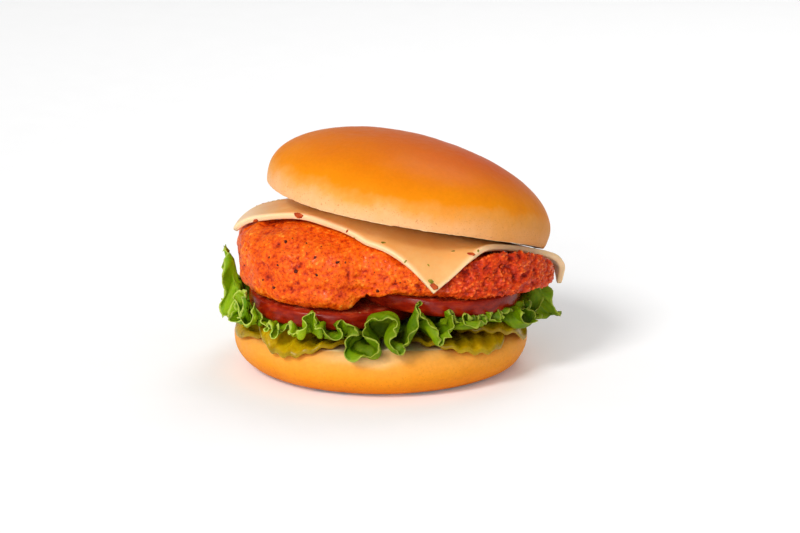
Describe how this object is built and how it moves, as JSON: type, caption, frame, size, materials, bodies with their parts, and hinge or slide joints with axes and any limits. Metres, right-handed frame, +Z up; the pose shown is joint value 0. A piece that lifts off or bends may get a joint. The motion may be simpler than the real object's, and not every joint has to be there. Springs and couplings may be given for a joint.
{
  "type": "chicken burger",
  "caption": "Chicken burger: breaded fillet, draped cheese, tomato, frilly lettuce and pickle slices between a round bun's heel and its tilted crown.",
  "frame": {"origin": "middle of the heel bun's flat underside, on the surface that the burger stands on", "axes": "+Z up; the picture looks along +Y, so -Y is the burger's front, where the cheese's corner hangs; +X is its right side, where the crown leans down"},
  "size_m": [0.1225, 0.1154, 0.085],
  "materials": {
    "bread": "soft baked bread with an egg-washed shine",
    "pickle": "wet pickled cucumber",
    "lettuce": "fresh leaf",
    "tomato": "wet cut tomato",
    "breaded_chicken": "oily fried breading",
    "cheese": "satin sliced cheese"
  },
  "bodies": {
    "root": {"bun_heel": "bread", "pickle_left_back": "pickle", "pickle_left_front": "pickle", "pickle_right_front": "pickle", "pickle_right_side": "pickle", "lettuce_leaf": "lettuce", "tomato_left": "tomato", "tomato_right": "tomato", "chicken_fillet": "breaded_chicken", "cheese_slice": "cheese", "bun_crown": "bread"}
  },
  "joints": []
}
